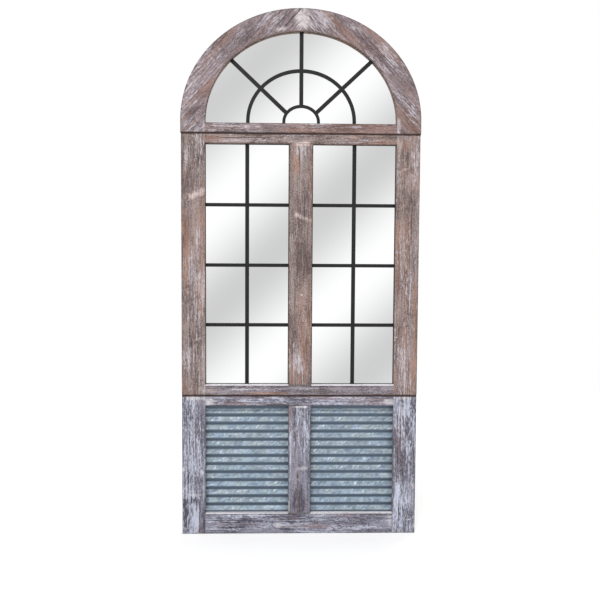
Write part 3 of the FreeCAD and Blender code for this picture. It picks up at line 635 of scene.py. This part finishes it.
def makeSheetMaterial():
    # dull crystals of zinc, with short bright ones that lean to the right
    material, tree, shader, place = startMaterial("galvanisedSheet")
    leaning = addNode(tree, "ShaderNodeVectorRotate", {"Vector": place, "Angle": zincSheet["lean"]},
                      rotation_type="Y_AXIS").outputs[0]
    stretched = calcVector(tree, "MULTIPLY", leaning, (0.7, 1.0, 1.9))
    flakes = addNode(tree, "ShaderNodeTexVoronoi",
                     {"Vector": stretched, "Scale": zincSheet["flakes"]}, feature="F1")
    flake = addNode(tree, "ShaderNodeSeparateColor", {0: flakes.outputs["Color"]}).outputs
    mottle = noise(tree, place, (30, 30, 30), 4.0, 0.65)
    dash = noise(tree, leaning, (85, 85, 270), 2.0, 0.6)
    tone = swing(tree, (flake[0], 0.30), (mottle, 0.7), (dash, 0.9))
    color = blendColors(tree, spread(tree, tone, 0.2, 0.8, kind="LINEAR"), zincSheet["dull"],
                        zincSheet["bright"])
    drift = spread(tree, cloud(tree, place, 34), 0.3, 0.7)
    drift = blendColors(tree, drift, zincSheet["warm"], zincSheet["cool"])
    color = blendColors(tree, 1.0, color, drift, "MULTIPLY")
    spark = calc(tree, "MULTIPLY", spread(tree, dash, 0.59, 0.67), spread(tree, mottle, 0.42, 0.58))
    color = blendColors(tree, calc(tree, "MULTIPLY", spark, 0.85), color, zincSheet["fleck"])

    # painted shade on the undersides of the waves, where they face down
    normal = tree.nodes.new("ShaderNodeTexCoord").outputs["Normal"]
    facing = addNode(tree, "ShaderNodeSeparateXYZ", {0: normal}).outputs["Z"]
    under = spread(tree, facing, -0.14, 0.06, 1.0, 0.0)
    color = blendColors(tree, under, color, zincSheet["underShade"])
    roughness = spread(tree, flake[2], 0.0, 1.0, 0.48, 0.66, "LINEAR")
    finishWith(shader, tree, color, roughness, tone, zincSheet["flakeDepth"], Metallic=0.35)
    return material


sheetMaterial = makeSheetMaterial()
for side in ("left", "right"):
    paintNode(side + "_corrugated_panel", sheetMaterial)
print("painted bars, mirrors and sheets")


# hardware and boards on the back

metals = {
    "zincPlate": {"color": shade(196, 198, 200), "roughness": 0.34, "brush": 800},
    "ringSteel": {"color": shade(205, 204, 202), "roughness": 0.22, "brush": 900},
}
fibres = {
    "hardboard": {"dark": shade(92, 66, 46), "light": shade(132, 98, 70),
                  "felt": 420, "roughness": 0.8, "depth": 0.0003},
    "bumperRubber": {"dark": shade(34, 34, 35), "light": shade(52, 52, 54),
                     "felt": 900, "roughness": 0.7, "depth": 0.0001},
    "dowelBeech": {"dark": shade(186, 142, 96), "light": shade(214, 176, 128),
                   "felt": 260, "roughness": 0.6, "depth": 0.0001},
}


def makePlainMetal(name):
    material, tree, shader, place = startMaterial(name)
    color, gloss, brush = (metals[name][key] for key in ("color", "roughness", "brush"))
    brushed = noise(tree, place, (brush, brush, brush * 0.05), 3.0, 0.6)
    dim = tuple(level * 0.72 for level in color[:3]) + (1.0,)
    tone = blendColors(tree, cloud(tree, place, 60), dim, color)
    roughness = spread(tree, brushed, 0.2, 0.8, gloss - 0.08, gloss + 0.12)
    finishWith(shader, tree, tone, roughness, brushed, 0.00005, Metallic=1.0)
    return material


def makeFibreMaterial(name):
    material, tree, shader, place = startMaterial(name)
    stuff = fibres[name]
    felt = noise(tree, place, (stuff["felt"], stuff["felt"], stuff["felt"]), 5.0, 0.7)
    tone = weigh(tree, (felt, 0.6), (cloud(tree, place, 12), 0.4))
    color = blendColors(tree, spread(tree, tone, 0.35, 0.65), stuff["dark"], stuff["light"])
    roughness = spread(tree, felt, 0.3, 0.7, stuff["roughness"] - 0.06, stuff["roughness"] + 0.06)
    finishWith(shader, tree, color, roughness, felt, stuff["depth"], Specular_IOR_Level=0.3)
    return material


zincMaterial = makePlainMetal("zincPlate")
ringMaterial = makePlainMetal("ringSteel")
hardboardMaterial = makeFibreMaterial("hardboard")
rubberMaterial = makeFibreMaterial("bumperRubber")
beechMaterial = makeFibreMaterial("dowelBeech")
for name in nodes:
    if name.endswith(("_points", "_plates", "_screws", "_strap")):
        paintNode(name, zincMaterial)
    elif name.endswith("_ring"):
        paintNode(name, ringMaterial)
    elif name.endswith(("_backing_board", "_panel_backing")):
        paintNode(name, hardboardMaterial)
    elif name.endswith("_dowels"):
        paintNode(name, beechMaterial)
    elif name == "wall_bumpers":
        paintNode(name, rubberMaterial)
print("painted the back")


# screw heads with cross recesses

screwHead = {"radius": 0.0038, "height": 0.0020, "shankRadius": 0.0020, "steps": 32,
             "profile": ((1.0, 0.0), (1.0, 0.45), (0.93, 0.72), (0.78, 0.92), (0.6, 1.0)),
             "crossReach": 0.0021, "crossHalf": 0.00042, "crossDepth": 0.0012, "crossTaper": 0.55}
screwDrop = {"seam": (-0.040, -0.015, 0.015, 0.040), "strap": (-0.031, -0.047)}


def addScrew(mesh, centre):
    # the head stands out along +Y from the plate's face at centre
    radius, height, shank = screwHead["radius"], screwHead["height"], screwHead["shankRadius"]
    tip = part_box("hanger_screws")[0].y - centre.y
    outline = [(0.0, tip), (shank, tip), (shank, 0.0)]
    outline += [(radius * wide, height * high) for wide, high in screwHead["profile"]]
    points = [mesh.verts.new(centre + Vector((x, y, 0.0))) for x, y in outline]
    edges = [mesh.edges.new(pair) for pair in zip(points, points[1:])]
    bmesh.ops.spin(mesh, geom=points + edges, cent=centre, axis=(0.0, 1.0, 0.0), angle=2 * math.pi,
                   steps=screwHead["steps"], use_merge=True, use_duplicate=False)
    bmesh.ops.remove_doubles(mesh, verts=mesh.verts, dist=1e-6)

    # sink the cross, then close the top round it
    reach, half, taper = screwHead["crossReach"], screwHead["crossHalf"], screwHead["crossTaper"]
    corners = []
    for quarter in range(4):
        turn = Matrix.Rotation(quarter * math.pi / 2, 3, "Y")
        corners += [mesh.verts.new(centre + turn @ Vector((x, height, z)))
                    for x, z in ((half, half), (reach, half), (reach, -half))]
    mouth = mesh.faces.new(corners)
    sunk = bmesh.ops.extrude_face_region(mesh, geom=[mouth])["geom"]
    sunk = [item for item in sunk if isinstance(item, bmesh.types.BMVert)]
    bmesh.ops.delete(mesh, geom=[mouth], context="FACES_ONLY")
    bmesh.ops.scale(mesh, vec=(taper, 1.0, taper), space=Matrix.Translation(-centre), verts=sunk)
    bmesh.ops.translate(mesh, vec=(0.0, -screwHead["crossDepth"], 0.0), verts=sunk)
    bmesh.ops.triangle_fill(mesh, use_beauty=True,
                            edges=[edge for edge in mesh.edges if edge.is_boundary])


def addScrews(name, centres, replaced):
    mesh = bmesh.new()
    for centre in centres:
        addScrew(mesh, centre)
    bmesh.ops.recalc_face_normals(mesh, faces=mesh.faces)
    data = bpy.data.meshes.new(name)
    mesh.to_mesh(data)
    mesh.free()
    data.materials.append(zincMaterial)
    screws = bpy.data.objects.new(name, data)
    bpy.context.scene.collection.objects.link(screws)
    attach(screws, "mirror_frame")
    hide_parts(replaced)


hangerX = (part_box("right_hanger_ring")[0].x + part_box("right_hanger_ring")[1].x) / 2
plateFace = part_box("upper_seam_plates")[1].y
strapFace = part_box("hanger_screws")[1].y - screwHead["height"]
addScrews("seam_screws", [Vector((side * hangerX, plateFace, seam + drop))
                          for side in (-1, 1) for seam in (upperSeam, lowerSeam)
                          for drop in screwDrop["seam"]], "seam_plate_screws")
addScrews("strap_screws", [Vector((side * hangerX, strapFace, drop))
                           for side in (-1, 1) for drop in screwDrop["strap"]], "hanger_screws")
print("made the screws")


# floor, light and camera

studio = {
    "floorSize": 5.2, "floorColor": (0.80, 0.80, 0.80, 1.0), "floorGlow": 0.34,
    "skyLow": 0.28, "skyHigh": 0.51,
    "bandLow": 0.64, "bandHigh": 1.04, "bandStart": 0.462, "bandRate": 3.965, "bandTilt": 0.94,
}
lamps = {
    "keyLamp": {"power": 156.0, "size": 2.6, "place": (-1.6, -3.6, 2.9)},
    "fillLamp": {"power": 24.0, "size": 2.0, "place": (2.4, -2.6, -0.3)},
    "backLamp": {"power": 130.0, "size": 2.6, "place": (1.7, 3.8, 2.4)},
}


def addFloor():
    half, height = studio["floorSize"] / 2, cadBox[0].z
    mesh = bpy.data.meshes.new("floor")
    corners = [(-half, -half, height), (half, -half, height), (half, half, height),
               (-half, half, height)]
    mesh.from_pydata(corners, [], [(0, 1, 2, 3)])
    floor = bpy.data.objects.new("floor", mesh)
    bpy.context.scene.collection.objects.link(floor)
    material, tree, shader, place = startMaterial("floorPaper")
    finishWith(shader, tree, None, None, None, Base_Color=studio["floorColor"], Roughness=0.9,
               Specular_IOR_Level=0.0, Emission_Color=(1.0, 1.0, 1.0, 1.0))
    rays = tree.nodes.new("ShaderNodeLightPath").outputs
    seen = calc(tree, "MAXIMUM", rays["Is Camera Ray"], rays["Is Glossy Ray"])
    glow = calc(tree, "MULTIPLY", seen, studio["floorGlow"])
    tree.links.new(glow, shader.inputs["Emission Strength"])
    floor.data.materials.append(material)


def addSky():
    world = bpy.data.worlds.new("studioSky")
    bpy.context.scene.world = world
    world.use_nodes = True
    tree = world.node_tree
    tree.nodes.clear()
    way = tree.nodes.new("ShaderNodeTexCoord").outputs["Generated"]
    parts = addNode(tree, "ShaderNodeSeparateXYZ", {0: way}).outputs
    soft = spread(tree, parts["Z"], -0.6, 0.9, studio["skyLow"], studio["skyHigh"])
    # soft slanting bands of light that the mirrors reflect
    across = calc(tree, "MULTIPLY", parts["X"], studio["bandTilt"])
    slant = calc(tree, "SUBTRACT", across, parts["Z"])
    turns = calc(tree, "MULTIPLY_ADD", slant, studio["bandRate"], studio["bandStart"])
    wave = calc(tree, "COSINE", calc(tree, "MULTIPLY", turns, 2 * math.pi))
    level = spread(tree, calc(tree, "ABSOLUTE", parts["Z"]), 0.4, 0.75, 1.0, 0.0)
    wave = calc(tree, "MULTIPLY", wave, level)
    bands = spread(tree, wave, -1.0, 1.0, studio["bandLow"], studio["bandHigh"], "LINEAR")
    rays = tree.nodes.new("ShaderNodeLightPath").outputs
    mirrored = addNode(tree, "ShaderNodeMix", {0: rays["Is Glossy Ray"], 2: soft, 3: bands})
    shown = addNode(tree, "ShaderNodeMix",
                    {0: rays["Is Camera Ray"], 2: mirrored.outputs[0], 3: 1.0})
    back = addNode(tree, "ShaderNodeBackground",
                   {"Color": (1, 1, 1, 1), "Strength": shown.outputs[0]})
    out = tree.nodes.new("ShaderNodeOutputWorld")
    tree.links.new(back.outputs[0], out.inputs["Surface"])


def addLamp(name, settings, target):
    lamp = bpy.data.lights.new(name, "AREA")
    lamp.energy = settings["power"]
    lamp.size = settings["size"]
    item = bpy.data.objects.new(name, lamp)
    place = Vector(settings["place"])
    item.location = place
    item.rotation_euler = (target - place).to_track_quat("-Z", "Y").to_euler()
    bpy.context.scene.collection.objects.link(item)


camera = {"place": (-0.0818, -2.7741, -0.2419), "yaw": 1.687, "pitch": 3.831, "roll": 0.329,
          "lens": 48.055, "sensor": 36.0}


def addCamera():
    data = bpy.data.cameras.new("camera")
    data.lens = camera["lens"]
    data.sensor_width = camera["sensor"]
    item = bpy.data.objects.new("camera", data)
    yaw = Matrix.Rotation(-math.radians(camera["yaw"]), 4, "Z")
    pitch = Matrix.Rotation(math.radians(90 - camera["pitch"]), 4, "X")
    roll = Matrix.Rotation(math.radians(camera["roll"]), 4, "Z")
    item.matrix_world = Matrix.Translation(camera["place"]) @ yaw @ pitch @ roll
    bpy.context.scene.collection.objects.link(item)
    bpy.context.scene.camera = item


addFloor()
addSky()
middle = (cadBox[0] + cadBox[1]) / 2
for name, settings in lamps.items():
    addLamp(name, settings, middle)
addCamera()
bpy.context.scene.view_settings.view_transform = "Standard"

print("ready")
